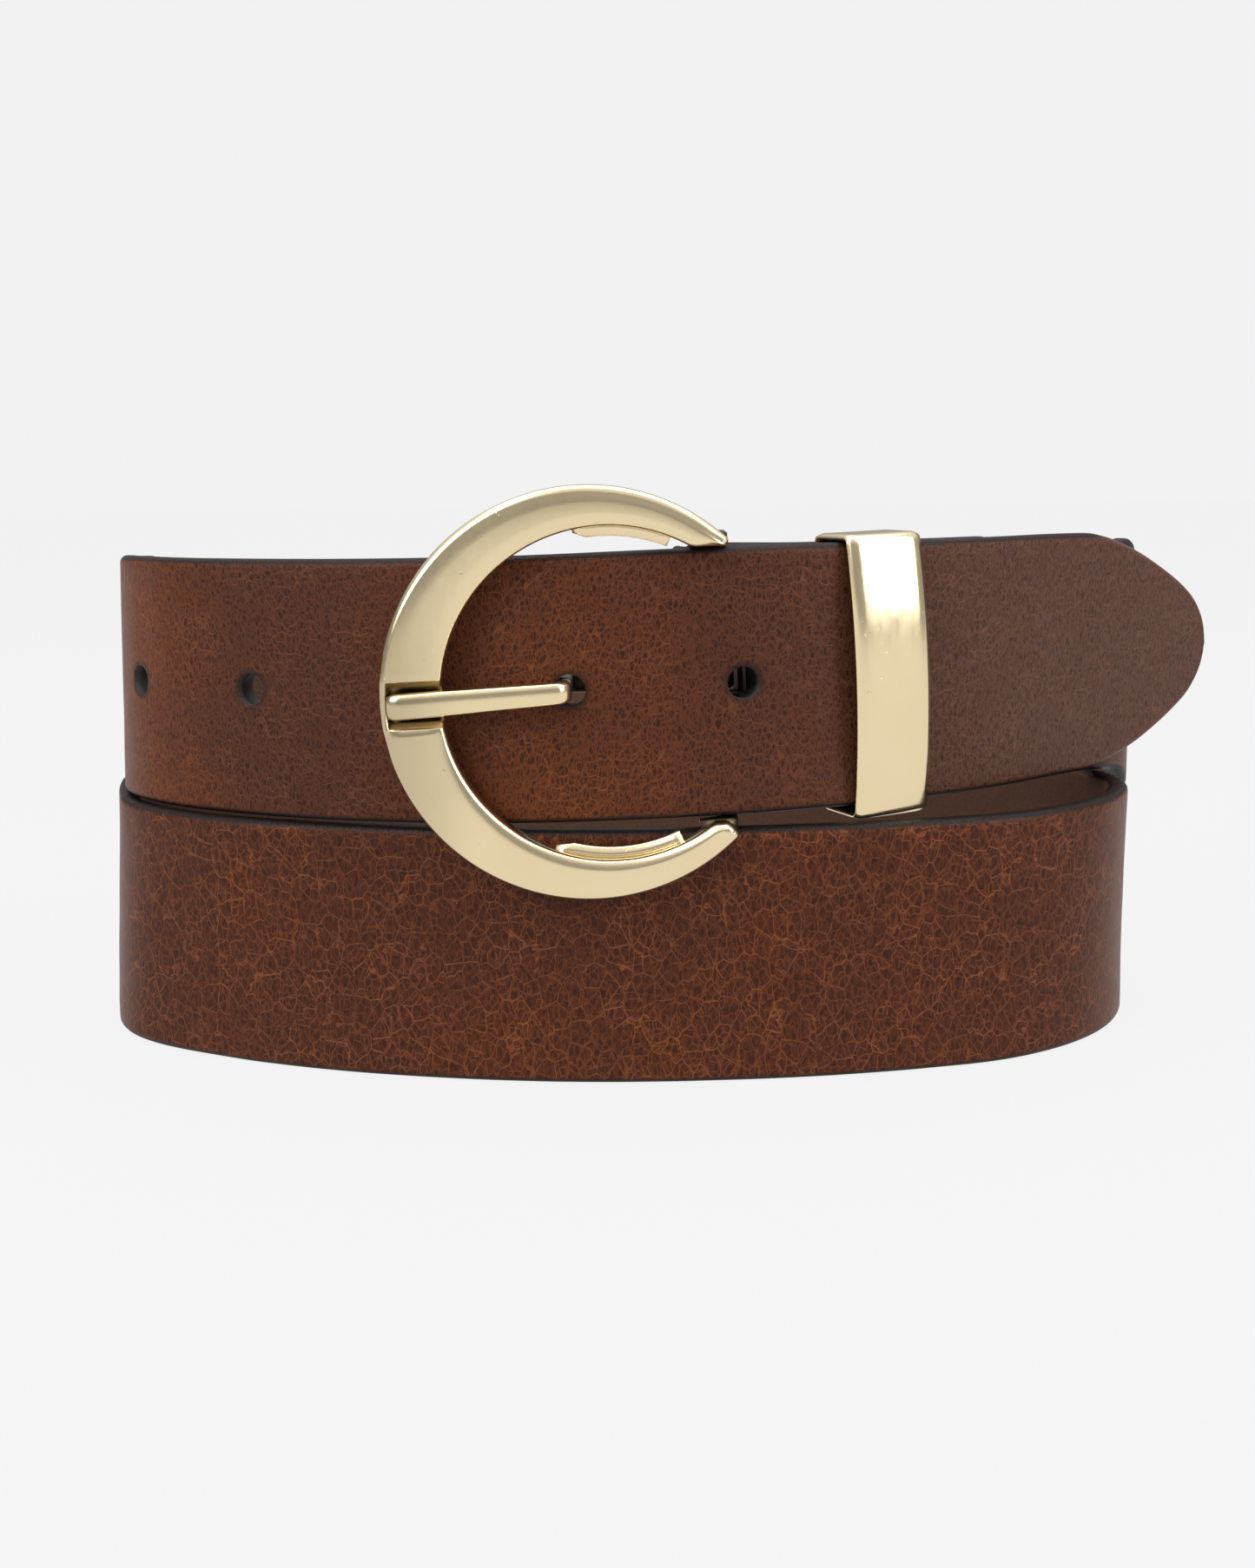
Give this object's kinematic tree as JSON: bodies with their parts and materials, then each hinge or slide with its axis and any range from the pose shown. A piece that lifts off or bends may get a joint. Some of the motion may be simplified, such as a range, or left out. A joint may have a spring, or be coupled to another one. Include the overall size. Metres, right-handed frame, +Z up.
{
  "type": "leather belt",
  "caption": "Leather belt with a round open-sided buckle, prong and metal keeper, buckled and coiled in two turns on its edge.",
  "frame": {"origin": "on the table, on the bottom edge of the lower turn of the strap, at mid thickness, in the middle of the front", "axes": "+X to the right along the front, +Y to the back of the coil, +Z up across the strap's width"},
  "size_m": [0.1967, 0.1017, 0.0913],
  "materials": {
    "leather": "waxed, cracked aniline leather",
    "leather_flesh": "matt flesh side",
    "pale_brass": "polished",
    "stud_metal": "satin"
  },
  "bodies": {
    "strap": {"strap": "leather", "snap_posts": "stud_metal", "snap_studs": "stud_metal"},
    "buckle": {"buckle_frame": "pale_brass", "buckle_bar": "pale_brass"},
    "prong": {"prong": "pale_brass"},
    "keeper": {"keeper": "pale_brass"},
    "fold_tab": {"fold_tab": "leather_flesh", "snap_sockets": "stud_metal", "snap_caps": "stud_metal"}
  },
  "joints": [
    {"name": "buckle_tilt", "type": "hinge", "parent": "strap", "child": "buckle", "pos_m": [0.01314, 0.00616, 0.0622], "axis": [-0.0387, -0.0068, 0.9992], "range_deg": [0, 2.4]},
    {"name": "prong_lift", "type": "hinge", "parent": "buckle", "child": "prong", "pos_m": [0.01314, 0.00616, 0.0622], "axis": [-0.0387, -0.0068, 0.9992], "range_deg": [0, 2.4]},
    {"name": "keeper_slide", "type": "hinge", "parent": "strap", "child": "keeper", "pos_m": [-0.00713, 0.10439, 0], "axis": [0, 0, 1], "range_deg": [-0.7, 4]},
    {"name": "tab_open", "type": "hinge", "parent": "strap", "child": "fold_tab", "pos_m": [0.01314, 0.00616, 0.0622], "axis": [-0.0387, -0.0068, 0.9992], "range_deg": [0, 70]}
  ]
}
